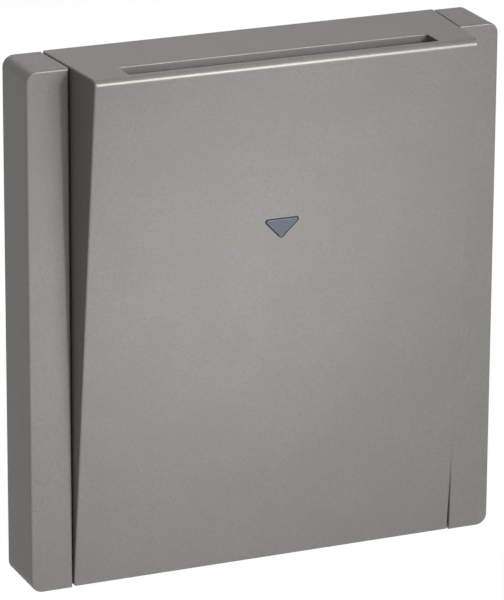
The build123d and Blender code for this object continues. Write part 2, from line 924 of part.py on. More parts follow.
def main():
    """Write one STEP file for each node."""
    os.makedirs("parts", exist_ok=True)
    for name, shape in all_parts().items():
        export_step(shape, f"parts/{name}.step")
    print_spring_gap()


if __name__ == "__main__":
    main()
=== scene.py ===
"""Hotel key card switch: finishes, fasteners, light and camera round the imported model."""

import logging
import math
from dataclasses import dataclass, field
from enum import Enum

import bpy
from mathutils import Matrix, Vector


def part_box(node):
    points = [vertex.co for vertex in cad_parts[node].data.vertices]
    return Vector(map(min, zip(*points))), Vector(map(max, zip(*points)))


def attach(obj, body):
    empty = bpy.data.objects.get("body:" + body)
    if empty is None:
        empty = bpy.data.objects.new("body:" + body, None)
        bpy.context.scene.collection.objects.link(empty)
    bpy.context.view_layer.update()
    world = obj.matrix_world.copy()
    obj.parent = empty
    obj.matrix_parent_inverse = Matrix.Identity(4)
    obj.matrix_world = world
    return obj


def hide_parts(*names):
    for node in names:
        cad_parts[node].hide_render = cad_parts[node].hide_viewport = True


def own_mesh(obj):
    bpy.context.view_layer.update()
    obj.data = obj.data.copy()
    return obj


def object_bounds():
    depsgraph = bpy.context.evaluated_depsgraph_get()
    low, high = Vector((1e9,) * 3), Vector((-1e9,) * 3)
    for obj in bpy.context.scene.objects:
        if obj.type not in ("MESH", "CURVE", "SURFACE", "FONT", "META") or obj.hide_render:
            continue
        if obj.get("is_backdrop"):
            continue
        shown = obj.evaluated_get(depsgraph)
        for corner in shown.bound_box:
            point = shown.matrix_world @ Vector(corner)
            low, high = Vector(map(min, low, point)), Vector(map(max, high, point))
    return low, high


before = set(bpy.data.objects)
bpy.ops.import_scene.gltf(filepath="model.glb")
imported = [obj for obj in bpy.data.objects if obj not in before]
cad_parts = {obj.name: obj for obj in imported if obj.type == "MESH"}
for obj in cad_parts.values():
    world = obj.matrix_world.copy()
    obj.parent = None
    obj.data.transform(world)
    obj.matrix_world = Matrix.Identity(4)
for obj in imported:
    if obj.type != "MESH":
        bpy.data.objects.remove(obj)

LOG = logging.getLogger("card_switch")
MM = 0.001
LONE_SPAN = 20 * MM  # a node of screws that is narrower than this holds one, and a wider one four

Colour = tuple[float, float, float, float]
Corners = tuple[Vector, Vector]
Piece = bpy.types.Object
Tree = bpy.types.NodeTree
Node = bpy.types.Node
Socket = bpy.types.NodeSocket
Sockets = bpy.types.bpy_prop_collection


def linear(hex_colour: str) -> Colour:
    """Turn an sRGB colour into the linear values that a shader takes.

    Args:
        hex_colour: The colour as a hash sign and six hex digits.

    Returns:
        Linear red, green and blue, and an alpha of 1.
    """
    values = [int(hex_colour[i : i + 2], 16) / 255 for i in (1, 3, 5)]
    # The numbers are those of the sRGB standard's own curve.
    flat = [v / 12.92 if v <= 0.04045 else ((v + 0.055) / 1.055) ** 2.4 for v in values]
    return (flat[0], flat[1], flat[2], 1.0)


def per_mm(size: float) -> float:
    """Give the texture scale at which one cell or wave is this many millimetres."""
    return 1 / (size * MM)


def add(
    tree: Tree,
    kind: str,
    settings: dict[str | int, object] | None = None,
    links: dict[str | int, Socket] | None = None,
) -> Node:
    """Add one node with its settings and its links.

    Args:
        tree: The node tree that takes the node.
        kind: Blender's name for the type of node.
        settings: Values by input name, input number or the node's own property name.
        links: Output sockets by the name or number of the input that they feed.

    Returns:
        The new node.
    """
    node = tree.nodes.new(kind)
    properties = {p.identifier for p in node.bl_rna.properties}
    for key, value in (settings or {}).items():
        if isinstance(key, str) and key in properties:
            setattr(node, key, value)
    for key, value in (settings or {}).items():
        if isinstance(key, int) or key not in properties:
            node.inputs[key].default_value = value
    for key, socket in (links or {}).items():
        tree.links.new(socket, node.inputs[key])
    return node


class Way(Enum):
    """Way that a metal's grain runs, as the pattern's scale along X, Y and Z."""

    UPRIGHT = (1.0, 1.0, 0.04)
    NONE = (1.0, 1.0, 1.0)


class Recess(Enum):
    """Driver recess in a screw's head, by its number of bars."""

    SLOT = 1
    CROSS = 2


@dataclass(frozen=True)
class Finish:
    """A finish that makes its own material."""

    name: str

    def make(self) -> bpy.types.Material:
        """Make the material and fill its node tree.

        Returns:
            The finished material.
        """
        material = bpy.data.materials.new(self.name)
        material.use_nodes = True
        tree = material.node_tree
        place = add(tree, "ShaderNodeTexCoord").outputs["Object"]
        self.fill(tree, tree.nodes["Principled BSDF"], place)
        return material

    def fill(self, tree: Tree, shader: Node, place: Socket) -> None:
        """Add the finish's nodes and feed them to the shader.

        Args:
            tree: The material's node tree.
            shader: The Principled shader that the tree ends in.
            place: The piece's own coordinates.
        """
        raise NotImplementedError

    def vary(
        self,
        tree: Tree,
        shader: Node,
        tints: tuple[str, str],
        blend: Socket,
        polish: tuple[float, float],
        wear: Socket,
    ) -> None:
        """Let the colour follow one pattern and the roughness another.

        Args:
            tree: The material's node tree.
            shader: The Principled shader that the tree ends in.
            tints: Colours where the blend is 0 and where it is 1.
            blend: Pattern that the colour follows.
            polish: Roughness where the wear is 0 and where it is 1.
            wear: Pattern that the roughness follows.
        """
        colour = add(
            tree,
            "ShaderNodeMix",
            {"data_type": "RGBA", 6: linear(tints[0]), 7: linear(tints[1])},
            {0: blend},
        )
        rough = add(tree, "ShaderNodeMapRange", {"To Min": polish[0], "To Max": polish[1]}, {"Value": wear})
        tree.links.new(colour.outputs[2], shader.inputs["Base Color"])
        tree.links.new(rough.outputs["Result"], shader.inputs["Roughness"])


@dataclass(frozen=True)
class FlakeLacquer(Finish):
    """Graphite metallic lacquer sprayed on moulded polycarbonate.

    Aluminium flake lies in a clear binder, so the eye sees a satin grey with fine
    sparkle, soft clouds left by the spray and a wide, soft highlight on each edge.
    """

    dark: str = "#81807c"
    light: str = "#959390"
    cloud: str = "#868480"
    flake_mm: float = 0.16  # real flake is 0.03 mm, too fine to show, so it is drawn coarser
    grit_mm: float = 0.34
    cloud_mm: float = 9.0
    peel_mm: float = 1.1
    flake_share: float = 0.45  # of the sparkle, and the grit makes the rest
    sparkle_span: tuple[float, float] = (0.2, 0.8)
    cloud_span: tuple[float, float] = (0.35, 0.65)
    cloud_share: float = 0.35
    relief_mm: float = 0.02
    peel_strength: float = 0.05
    flake_strength: float = 0.06
    roughness: float = 0.34
    spread: float = 0.05
    metallic: float = 0.25
    specular: float = 0.0  # the clear binder on top has the gloss
    coat: float = 0.12
    coat_roughness: float = 0.22

    def fill(self, tree: Tree, shader: Node, place: Socket) -> None:
        """Put flake and spray clouds in the colour, flake and orange peel in the bump.

        Args:
            tree: The material's node tree.
            shader: The Principled shader that the tree ends in.
            place: The piece's own coordinates.
        """
        flake = add(tree, "ShaderNodeTexVoronoi", {"Scale": per_mm(self.flake_mm)}, {"Vector": place})
        grit, clouds, peel = (
            add(tree, "ShaderNodeTexNoise", {"Scale": per_mm(size), "Detail": detail}, {"Vector": place})
            for size, detail in ((self.grit_mm, 3.0), (self.cloud_mm, 2.0), (self.peel_mm, 1.0))
        )
        rough = add(
            tree,
            "ShaderNodeMapRange",
            {"To Min": self.roughness - self.spread, "To Max": self.roughness + self.spread},
            {"Value": grit.outputs["Fac"]},
        )
        peel_bump = add(
            tree,
            "ShaderNodeBump",
            {"Strength": self.peel_strength, "Distance": self.relief_mm * MM},
            {"Height": peel.outputs["Fac"]},
        )
        flake_bump = add(
            tree,
            "ShaderNodeBump",
            {"Strength": self.flake_strength, "Distance": self.relief_mm * MM},
            {"Height": flake.outputs["Distance"], "Normal": peel_bump.outputs["Normal"]},
        )
        shader.inputs["Metallic"].default_value = self.metallic
        shader.inputs["Specular IOR Level"].default_value = self.specular
        shader.inputs["Coat Weight"].default_value = self.coat
        shader.inputs["Coat Roughness"].default_value = self.coat_roughness
        colour = self.colour(tree, flake.outputs["Color"], grit.outputs["Fac"], clouds.outputs["Fac"])
        tree.links.new(colour, shader.inputs["Base Color"])
        tree.links.new(rough.outputs["Result"], shader.inputs["Roughness"])
        tree.links.new(flake_bump.outputs["Normal"], shader.inputs["Normal"])

    def colour(self, tree: Tree, flake: Socket, grit: Socket, clouds: Socket) -> Socket:
        """Go from dark to light with flake and grit, and evenly grey where a cloud lies.

        Args:
            tree: The material's node tree.
            flake: Pattern of the flakes.
            grit: Pattern of the finer grit between them.
            clouds: Pattern of the spray's clouds.

        Returns:
            The socket that holds the colour.
        """
        rest = add(tree, "ShaderNodeMath", {"operation": "MULTIPLY", 1: 1 - self.flake_share}, {0: grit})
        sparkle = add(
            tree,
            "ShaderNodeMath",
            {"operation": "MULTIPLY_ADD", 1: self.flake_share},
            {0: flake, 2: rest.outputs[0]},
        )
        ramp = add(tree, "ShaderNodeValToRGB", links={"Fac": sparkle.outputs[0]})
        ends = zip(ramp.color_ramp.elements, self.sparkle_span, (self.dark, self.light))
        for element, position, tint in ends:
            element.position = position
            element.color = linear(tint)
        start, end = self.cloud_span
        share = add(
            tree,
            "ShaderNodeMapRange",
            {"From Min": start, "From Max": end, "To Max": self.cloud_share},
            {"Value": clouds},
        )
        clouded = add(
            tree,
            "ShaderNodeMix",
            {"data_type": "RGBA", 7: linear(self.cloud)},
            {0: share.outputs["Result"], 6: ramp.outputs["Color"]},
        )
        return clouded.outputs[2]


@dataclass(frozen=True)
class Moulded(Finish):
    """Injection or compression moulded plastic with a spark-eroded or polished skin.

    The tool's fine grain breaks up the highlight, and the melt leaves faint clouds.
    """

    colour: str
    flow: str
    grain_mm: float = 0.22
    flow_mm: float = 6.0
    swirl: float = 0.6
    roughness: float = 0.5
    spread: float = 0.08
    relief: float = 0.25
    relief_mm: float = 0.03
    ior: float = 1.5

    def fill(self, tree: Tree, shader: Node, place: Socket) -> None:
        """Put flow clouds in the colour, tool grain in the roughness and the bump.

        Args:
            tree: The material's node tree.
            shader: The Principled shader that the tree ends in.
            place: The piece's own coordinates.
        """
        grain = add(
            tree,
            "ShaderNodeTexNoise",
            {"Scale": per_mm(self.grain_mm), "Detail": 2.0},
            {"Vector": place},
        ).outputs["Fac"]
        flow = add(
            tree,
            "ShaderNodeTexNoise",
            {"Scale": per_mm(self.flow_mm), "Detail": 3.0, "Distortion": self.swirl},
            {"Vector": place},
        ).outputs["Fac"]
        polish = (self.roughness - self.spread, self.roughness + self.spread)
        self.vary(tree, shader, (self.colour, self.flow), flow, polish, grain)
        bump = add(
            tree,
            "ShaderNodeBump",
            {"Strength": self.relief, "Distance": self.relief_mm * MM},
            {"Height": grain},
        )
        tree.links.new(bump.outputs["Normal"], shader.inputs["Normal"])
        shader.inputs["IOR"].default_value = self.ior


@dataclass(frozen=True)
class SheetMetal(Finish):
    """Rolled, drawn or plated metal.

    Rolling and drawing leave fine lines one way, and plating leaves soft patches of
    a slightly different tint.
    """

    colour: str
    patch: str
    way: Way = Way.UPRIGHT
    line_mm: float = 0.12
    patch_mm: float = 5.0
    patch_blur: float = 0.6
    roughness: float = 0.32
    smoother: float = 0.1
    rougher: float = 0.12
    relief: float = 0.15
    relief_mm: float = 0.01

    def fill(self, tree: Tree, shader: Node, place: Socket) -> None:
        """Put rolling lines in the roughness and the bump, patches in the colour.

        Args:
            tree: The material's node tree.
            shader: The Principled shader that the tree ends in.
            place: The piece's own coordinates.
        """
        run = add(tree, "ShaderNodeMapping", {"Scale": self.way.value}, {"Vector": place})
        lines = add(
            tree,
            "ShaderNodeTexNoise",
            {"Scale": per_mm(self.line_mm), "Detail": 2.0},
            {"Vector": run.outputs["Vector"]},
        ).outputs["Fac"]
        patches = add(
            tree,
            "ShaderNodeTexVoronoi",
            {"feature": "SMOOTH_F1", "Scale": per_mm(self.patch_mm), "Smoothness": self.patch_blur},
            {"Vector": place},
        ).outputs["Color"]
        polish = (self.roughness - self.smoother, self.roughness + self.rougher)
        self.vary(tree, shader, (self.colour, self.patch), patches, polish, lines)
        bump = add(
            tree,
            "ShaderNodeBump",
            {"Strength": self.relief, "Distance": self.relief_mm * MM},
            {"Height": lines},
        )
        tree.links.new(bump.outputs["Normal"], shader.inputs["Normal"])
        shader.inputs["Metallic"].default_value = 1.0


@dataclass(frozen=True)
class SmokedLens(Finish):
    """Smoke-tinted polycarbonate, moulded in a polished tool.

    The tint goes from violet grey to green grey across the lens, with a hard gloss.
    """

    left: str = "#595b71"
    right: str = "#4f6269"
    half_mm: float = 3.2
    haze_mm: float = 0.6
    roughness: float = 0.16
    spread: float = 0.04
    transmission: float = 0.1
    ior: float = 1.58

    def fill(self, tree: Tree, shader: Node, place: Socket) -> None:
        """Change the tint across the lens, under a faintly uneven polish.

        Args:
            tree: The material's node tree.
            shader: The Principled shader that the tree ends in.
            place: The piece's own coordinates.
        """
        across = add(tree, "ShaderNodeSeparateXYZ", links={"Vector": place}).outputs["X"]
        share = add(
            tree,
            "ShaderNodeMapRange",
            {"From Min": -self.half_mm * MM, "From Max": self.half_mm * MM},
            {"Value": across},
        ).outputs["Result"]
        haze = add(
            tree,
            "ShaderNodeTexNoise",
            {"Scale": per_mm(self.haze_mm)},
            {"Vector": place},
        ).outputs["Fac"]
        polish = (self.roughness - self.spread, self.roughness + self.spread)
        self.vary(tree, shader, (self.left, self.right), share, polish, haze)
        shader.inputs["IOR"].default_value = self.ior
        shader.inputs["Transmission Weight"].default_value = self.transmission


@dataclass(frozen=True)
class ClearPlastic(Finish):
    """Clear acrylic or epoxy, moulded or cast, with faint flow lines and a hard gloss."""

    colour: str
    flow: str
    flow_mm: float = 1.5
    swirl: float = 1.0
    roughness: float = 0.06
    spread: float = 0.06
    transmission: float = 0.9
    ior: float = 1.49

    def fill(self, tree: Tree, shader: Node, place: Socket) -> None:
        """Put a faint flow in the tint and in the polish.

        Args:
            tree: The material's node tree.
            shader: The Principled shader that the tree ends in.
            place: The piece's own coordinates.
        """
        flow = add(
            tree,
            "ShaderNodeTexNoise",
            {"Scale": per_mm(self.flow_mm), "Distortion": self.swirl},
            {"Vector": place},
        ).outputs["Fac"]
        polish = (self.roughness, self.roughness + self.spread)
        self.vary(tree, shader, (self.colour, self.flow), flow, polish, flow)
        shader.inputs["IOR"].default_value = self.ior
        shader.inputs["Transmission Weight"].default_value = self.transmission


@dataclass(frozen=True)
class BandedPart(Finish):
    """Lacquered or moulded body of a leaded part, with painted bands and tinned legs.

    The bands lie across the body by their place along Y, and past its ends the
    bright metal of the legs shows.
    """

    body: str
    bands: tuple[str, ...]
    middle_mm: float
    half_mm: float
    legs: str = "#b8b8b4"
    skin_mm: float = 0.4
    roughness: float = 0.3
    spread: float = 0.06

    def fill(self, tree: Tree, shader: Node, place: Socket) -> None:
        """Step the colour along the body, from leg to bands to leg.

        Args:
            tree: The material's node tree.
            shader: The Principled shader that the tree ends in.
            place: The piece's own coordinates.
        """
        along = add(tree, "ShaderNodeSeparateXYZ", links={"Vector": place}).outputs["Y"]
        middle, reach = self.middle_mm * MM, 2 * self.half_mm * MM
        share = add(
            tree,
            "ShaderNodeMapRange",
            {"From Min": middle - reach, "From Max": middle + reach},
            {"Value": along},
        )
        ramp = add(tree, "ShaderNodeValToRGB", links={"Fac": share.outputs["Result"]})
        ramp.color_ramp.interpolation = "CONSTANT"
        elements = ramp.color_ramp.elements
        steps = self.steps()
        while len(elements) < len(steps):
            elements.new(0.5)
        for element, (position, colour) in zip(elements, steps):
            element.position = position
            element.color = linear(colour)
        skin = add(tree, "ShaderNodeTexNoise", {"Scale": per_mm(self.skin_mm)}, {"Vector": place})
        rough = add(
            tree,
            "ShaderNodeMapRange",
            {"To Min": self.roughness - self.spread, "To Max": self.roughness + self.spread},
            {"Value": skin.outputs["Fac"]},
        )
        tree.links.new(ramp.outputs["Color"], shader.inputs["Base Color"])
        tree.links.new(rough.outputs["Result"], shader.inputs["Roughness"])

    def steps(self) -> list[tuple[float, str]]:
        """Work out where each colour starts on a ramp twice as long as the body.

        Returns:
            Start and colour of each stretch, from the first leg to the last.
        """
        start, end = 0.25, 0.75
        pitch = (end - start) / (len(self.bands) + 1)
        half_band = pitch / 4
        stretches = [(0.0, self.legs), (start, self.body)]
        for count, band in enumerate(self.bands, 1):
            middle = start + pitch * count
            stretches += [(middle - half_band, band), (middle + half_band, self.body)]
        return stretches + [(end, self.legs)]


# Each finish is named for its material and process, and its comment says what the eye sees.
# Satin grey with fine sparkle, on frame and cover.
LACQUER = FlakeLacquer("sprayed_graphite_lacquer")
# Dark, hard gloss with a slight change of tint.
LENS = SmokedLens("smoked_polycarbonate_lens")
# Dull, slightly open black.
BLACK_PC = Moulded("moulded_black_polycarbonate", "#1d1d1e", "#232324", roughness=0.55)
# Warm white with a low sheen, like thick china.
WHITE_UREA = Moulded(
    "compression_moulded_urea", "#dedcd4", "#d2d0c8", flow_mm=9.0, roughness=0.45
)
# Smooth, slightly waxy grey.
GREY_ACETAL = Moulded(
    "moulded_grey_acetal", "#8e9093", "#85878a", grain_mm=0.4, roughness=0.38, relief=0.12
)
# Cool, bluish metal with soft patches.
ZINC_STEEL = SheetMetal("zinc_plated_steel_sheet", "#c6c9cc", "#b4b8bd", roughness=0.36)
# Warm yellow metal with fine upright lines.
BRASS = SheetMetal("rolled_brass_strip", "#d3b06a", "#c7a25c", roughness=0.3, patch_mm=3.0)
# Bright, nearly white metal with no lines.
SILVER = SheetMetal(
    "cold_headed_silver", "#dddcd6", "#cfcec8", way=Way.NONE, roughness=0.28, patch_mm=1.2
)
# Plain grey, bright drawn metal.
SPRING_WIRE = SheetMetal(
    "drawn_spring_wire", "#b3b5b7", "#a2a4a6", way=Way.NONE, roughness=0.3, patch_mm=1.0
)
# Clear, with a glassy gloss.
ACRYLIC = ClearPlastic("moulded_clear_acrylic", "#f3f6f7", "#e6edf0")
# Clear but slightly blue and hazy.
EPOXY = ClearPlastic("cast_clear_epoxy", "#e3e8f2", "#d5dbe8", transmission=0.6, ior=1.53)
# Deep green under a smooth, glossy mask.
LAMINATE = Moulded(
    "solder_masked_laminate", "#1f5a34", "#256a3d", grain_mm=0.5, flow_mm=2.5, roughness=0.3, ior=1.55
)
# Sand-coloured glossy body with painted rings.
RESISTOR = BandedPart(
    "lacquered_film_resistor", "#c9b48c", ("#6b3f22", "#222222", "#c8a23c"), middle_mm=6.4, half_mm=2.7
)
# Black body with one pale ring that marks its end.
DIODE = BandedPart("moulded_epoxy_diode", "#26262a", ("#c9c9c6",), middle_mm=6.4, half_mm=1.8)


@dataclass(frozen=True)
class Growth:
    """Geometry Nodes tree that grows a shape from named inputs."""

    name: str

    def inputs(self) -> dict[str, str]:
        """Name the numbers that the tree takes, with the kind of each."""
        raise NotImplementedError

    def shape(self, tree: Tree, given: Sockets) -> Socket:
        """Add the nodes that make the shape.

        Args:
            tree: The tree that takes the nodes.
            given: The group's inputs.

        Returns:
            The geometry of the shape.
        """
        raise NotImplementedError

    def tree(self) -> Tree:
        """Build the tree, which ends in real geometry with its finish.

        Returns:
            The geometry node group.
        """
        tree = bpy.data.node_groups.new(self.name, "GeometryNodeTree")
        kinds = {"Geometry": "Geometry"} | self.inputs() | {"Finish": "Material"}
        for label, kind in kinds.items():
            tree.interface.new_socket(label, in_out="INPUT", socket_type=f"NodeSocket{kind}")
        tree.interface.new_socket("Geometry", in_out="OUTPUT", socket_type="NodeSocketGeometry")
        given = add(tree, "NodeGroupInput").outputs
        real = add(tree, "GeometryNodeRealizeInstances", links={0: self.shape(tree, given)})
        dressed = add(
            tree,
            "GeometryNodeSetMaterial",
            links={"Geometry": real.outputs[0], "Material": given["Finish"]},
        )
        add(tree, "NodeGroupOutput", links={0: dressed.outputs[0]})
        return tree


@dataclass(frozen=True)
class ScrewThread(Growth):
    """Screws with a threaded shank, a chamfered head and a driver recess.

    Each point of the input mesh gets one screw, with its head up along its own Z.
    """

    facets: int = 28
    turn_facets: int = 20
    ridge_sides: int = 4
    rim_share: float = 0.6  # of the head's height, below its chamfer
    top_share: float = 0.82  # of the head's radius, inside its chamfer
    slot_share: float = 2.4  # bar's length over the head's radius, so a slot runs out at both sides
    cross_share: float = 1.1
    bar_share: float = 2.0  # bar's height over the recess's depth, so half of it is over the head

    def inputs(self) -> dict[str, str]:
        """Name the sizes of shank, thread, head and recess, and the screws' turn."""
        shank = ("Core Radius", "Thread Height", "Shank Length", "Pitch")
        head = ("Head Radius", "Head Height", "Recess Width", "Recess Depth")
        return dict.fromkeys(shank + head, "Float") | {"Recess Bars": "Int", "Turn": "Vector"}

    def shape(self, tree: Tree, given: Sockets) -> Socket:
        """Join shank, thread and head, and put one such screw on each point.

        Args:
            tree: The tree that takes the nodes.
            given: The group's inputs.

        Returns:
            The geometry of the screws.
        """
        screw = add(tree, "GeometryNodeJoinGeometry")
        for part in (self.shank, self.thread, self.head):
            tree.links.new(part(tree, given), screw.inputs[0])
        placed = add(
            tree,
            "GeometryNodeInstanceOnPoints",
            links={"Points": given["Geometry"], "Instance": screw.outputs[0], "Rotation": given["Turn"]},
        )
        return placed.outputs[0]

    def lifted(self, tree: Tree, geometry: Socket, height: Socket) -> Socket:
        """Move geometry along the screw's own axis.

        Args:
            tree: The tree that takes the nodes.
            geometry: What is moved.
            height: How far up it goes, or down where it is negative.

        Returns:
            The moved geometry.
        """
        offset = add(tree, "ShaderNodeCombineXYZ", links={"Z": height})
        moved = add(
            tree,
            "GeometryNodeTransform",
            links={"Geometry": geometry, "Translation": offset.outputs[0]},
        )
        return moved.outputs[0]

    def shank(self, tree: Tree, given: Sockets) -> Socket:
        """Make the core of the shank, under the head.

        Args:
            tree: The tree that takes the nodes.
            given: The group's inputs.

        Returns:
            The geometry of the core.
        """
        length = given["Shank Length"]
        core = add(
            tree,
            "GeometryNodeMeshCylinder",
            {"Vertices": self.facets},
            {"Radius": given["Core Radius"], "Depth": length},
        )
        down = add(tree, "ShaderNodeMath", {"operation": "MULTIPLY", 1: -0.5}, {0: length})
        return self.lifted(tree, core.outputs["Mesh"], down.outputs[0])

    def thread(self, tree: Tree, given: Sockets) -> Socket:
        """Wind a ridge with a diamond section down the core.

        Args:
            tree: The tree that takes the nodes.
            given: The group's inputs.

        Returns:
            The geometry of the thread.
        """
        radius, pitch = given["Core Radius"], given["Pitch"]
        reach = add(
            tree, "ShaderNodeMath", {"operation": "SUBTRACT"}, {0: given["Shank Length"], 1: pitch}
        ).outputs[0]
        turns = add(tree, "ShaderNodeMath", {"operation": "DIVIDE"}, {0: reach, 1: pitch})
        down = add(tree, "ShaderNodeMath", {"operation": "MULTIPLY", 1: -1.0}, {0: reach})
        spiral = add(
            tree,
            "GeometryNodeCurveSpiral",
            {"Resolution": self.turn_facets},
            {
                "Rotations": turns.outputs[0],
                "Start Radius": radius,
                "End Radius": radius,
                "Height": down.outputs[0],
            },
        )
        upright = add(tree, "GeometryNodeSetCurveNormal", {"mode": "Z_UP"}, {"Curve": spiral.outputs[0]})
        section = add(
            tree,
            "GeometryNodeCurvePrimitiveCircle",
            {"Resolution": self.ridge_sides},
            {"Radius": given["Thread Height"]},
        )
        ridge = add(
            tree,
            "GeometryNodeCurveToMesh",
            {"Fill Caps": True},
            {"Curve": upright.outputs[0], "Profile Curve": section.outputs[0]},
        )
        start = add(tree, "ShaderNodeMath", {"operation": "MULTIPLY", 1: -0.5}, {0: pitch})
        return self.lifted(tree, ridge.outputs[0], start.outputs[0])

    def head(self, tree: Tree, given: Sockets) -> Socket:
        """Stack the head from a rim and a chamfer, and cut its recess out.

        Args:
            tree: The tree that takes the nodes.
            given: The group's inputs.

        Returns:
            The geometry of the head.
        """
        radius, height = given["Head Radius"], given["Head Height"]
        top_radius, rim_height, rim_middle, chamfer_height = (
            add(tree, "ShaderNodeMath", {"operation": "MULTIPLY", 1: share}, {0: size}).outputs[0]
            for share, size in (
                (self.top_share, radius),
                (self.rim_share, height),
                (self.rim_share / 2, height),
                (1 - self.rim_share, height),
            )
        )
        rim = add(
            tree,
            "GeometryNodeMeshCylinder",
            {"Vertices": self.facets},
            {"Radius": radius, "Depth": rim_height},
        )
        chamfer = add(
            tree,
            "GeometryNodeMeshCone",
            {"Vertices": self.facets},
            {"Radius Top": top_radius, "Radius Bottom": radius, "Depth": chamfer_height},
        )
        solid = add(tree, "GeometryNodeMeshBoolean", {"operation": "UNION", "solver": "EXACT"})
        for part, lift in ((rim, rim_middle), (chamfer, rim_height)):
            tree.links.new(self.lifted(tree, part.outputs["Mesh"], lift), solid.inputs["Mesh 2"])
        cut = add(
            tree,
            "GeometryNodeMeshBoolean",
            {"operation": "DIFFERENCE", "solver": "EXACT"},
            {"Mesh 1": solid.outputs["Mesh"], "Mesh 2": self.lifted(tree, self.recess(tree, given), height)},
        )
        return cut.outputs["Mesh"]

    def recess(self, tree: Tree, given: Sockets) -> Socket:
        """Make the cutter for the recess, which is one bar or two crossed ones.

        Args:
            tree: The tree that takes the nodes.
            given: The group's inputs.

        Returns:
            The geometry of the cutter, round the middle of the head's top.
        """
        radius = given["Head Radius"]
        long, short, deep = (
            add(tree, "ShaderNodeMath", {"operation": "MULTIPLY", 1: share}, {0: size}).outputs[0]
            for share, size in (
                (self.slot_share, radius),
                (self.cross_share, radius),
                (self.bar_share, given["Recess Depth"]),
            )
        )
        lone = add(
            tree,
            "FunctionNodeCompare",
            {"data_type": "INT", "operation": "EQUAL", 3: Recess.SLOT.value},
            {2: given["Recess Bars"]},
        ).outputs[0]
        length = add(tree, "GeometryNodeSwitch", {"input_type": "FLOAT"}, {0: lone, 1: short, 2: long})
        size = add(
            tree,
            "ShaderNodeCombineXYZ",
            links={"X": length.outputs[0], "Y": given["Recess Width"], "Z": deep},
        )
        bar = add(tree, "GeometryNodeMeshCube", links={"Size": size.outputs[0]}).outputs["Mesh"]
        turned = add(tree, "GeometryNodeTransform", {"Rotation": (0.0, 0.0, math.pi / 2)}, {"Geometry": bar})
        second = add(
            tree,
            "GeometryNodeSwitch",
            {"input_type": "GEOMETRY"},
            {0: lone, 1: turned.outputs[0], 2: bar},
        )
        both = add(tree, "GeometryNodeMeshBoolean", {"operation": "UNION", "solver": "EXACT"})
        for arm in (bar, second.outputs[0]):
            tree.links.new(arm, both.inputs["Mesh 2"])
        return both.outputs["Mesh"]


@dataclass(frozen=True)
class CoilSpring(Growth):
    """Compression spring with a closed turn at each end, wound along Z."""

    wire_share: float  # the wire's diameter over the spring's length
    turns: int
    turn_facets: int = 28
    wire_facets: int = 10

    def inputs(self) -> dict[str, str]:
        """Name the sizes of the coil and its wire."""
        return dict.fromkeys(("Radius", "Wire Radius", "Length", "Turns"), "Float")

    def shape(self, tree: Tree, given: Sockets) -> Socket:
        """Raise a flat coil slowly over its end turns and steeply between them.

        Args:
            tree: The tree that takes the nodes.
            given: The group's inputs.

        Returns:
            The geometry of the wire.
        """
        ring = add(
            tree,
            "GeometryNodeCurveSpiral",
            {"Resolution": self.turn_facets, "Height": 0.0},
            {"Rotations": given["Turns"], "Start Radius": given["Radius"], "End Radius": given["Radius"]},
        )
        along = add(tree, "GeometryNodeSplineParameter")
        rise = add(tree, "ShaderNodeFloatCurve", links={"Value": along.outputs["Factor"]})
        points = rise.mapping.curves[0].points
        end_turn = 1 / self.turns
        for share, level in ((end_turn, self.wire_share), (1 - end_turn, 1 - self.wire_share)):
            points.new(share, level).handle_type = "VECTOR"
        rise.mapping.update()
        height = add(
            tree, "ShaderNodeMath", {"operation": "MULTIPLY"}, {0: rise.outputs[0], 1: given["Length"]}
        )
        offset = add(tree, "ShaderNodeCombineXYZ", links={"Z": height.outputs[0]})
        wound = add(
            tree,
            "GeometryNodeSetPosition",
            links={"Geometry": ring.outputs[0], "Offset": offset.outputs[0]},
        )
        section = add(
            tree,
            "GeometryNodeCurvePrimitiveCircle",
            {"Resolution": self.wire_facets},
            {"Radius": given["Wire Radius"]},
        )
        wire = add(
            tree,
            "GeometryNodeCurveToMesh",
            {"Fill Caps": True},
            {"Curve": wound.outputs[0], "Profile Curve": section.outputs[0]},
        )
        return wire.outputs[0]


@dataclass(frozen=True)
class Made:
    """Materials and trees made so far by name, so that each is made once and shared."""

    materials: dict[str, bpy.types.Material] = field(default_factory=dict)
    trees: dict[str, Tree] = field(default_factory=dict)

    def material(self, finish: Finish) -> bpy.types.Material:
        """Give a finish's material, made at its first use.

        Args:
            finish: The finish.

        Returns:
            Its material.
        """
        if finish.name not in self.materials:
            self.materials[finish.name] = finish.make()
        return self.materials[finish.name]

    def tree(self, growth: Growth) -> Tree:
        """Give a growth's tree, made at its first use.

        Args:
            growth: The growth.

        Returns:
            Its geometry node group.
        """
        if growth.name not in self.trees:
            self.trees[growth.name] = growth.tree()
        return self.trees[growth.name]


MADE = Made()


def dress_node(node: str, finish: Finish) -> None:
    """Give a CAD node its finish.

    Args:
        node: Name of the node.
        finish: The finish.
    """
    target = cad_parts[node]
    material = MADE.material(finish)
    if not target.material_slots:
        target.data.materials.append(material)
    for place in target.material_slots:
        place.material = material
    LOG.info("%s: %s", node, finish.name)


def put(name: str, data: bpy.types.ID) -> Piece:
    """Put a mesh, letter, lamp or camera into the scene.

    Args:
        name: Name of the new object.
        data: What the object holds.

    Returns:
        The object, at the origin.
    """
    holder = bpy.data.objects.new(name, data)
    bpy.context.scene.collection.objects.link(holder)
    return holder


def mesh_piece(name: str, points: list[Vector], faces: list[tuple[int, ...]] | None = None) -> Piece:
    """Make a piece whose place is in its mesh.

    Args:
        name: Name of the piece.
        points: Places in metres.
        faces: Numbers of each face's points, or nothing for bare points.

    Returns:
        The piece, in the scene.
    """
    mesh = bpy.data.meshes.new(name)
    mesh.from_pydata([tuple(point) for point in points], [], faces or [])
    return put(name, mesh)


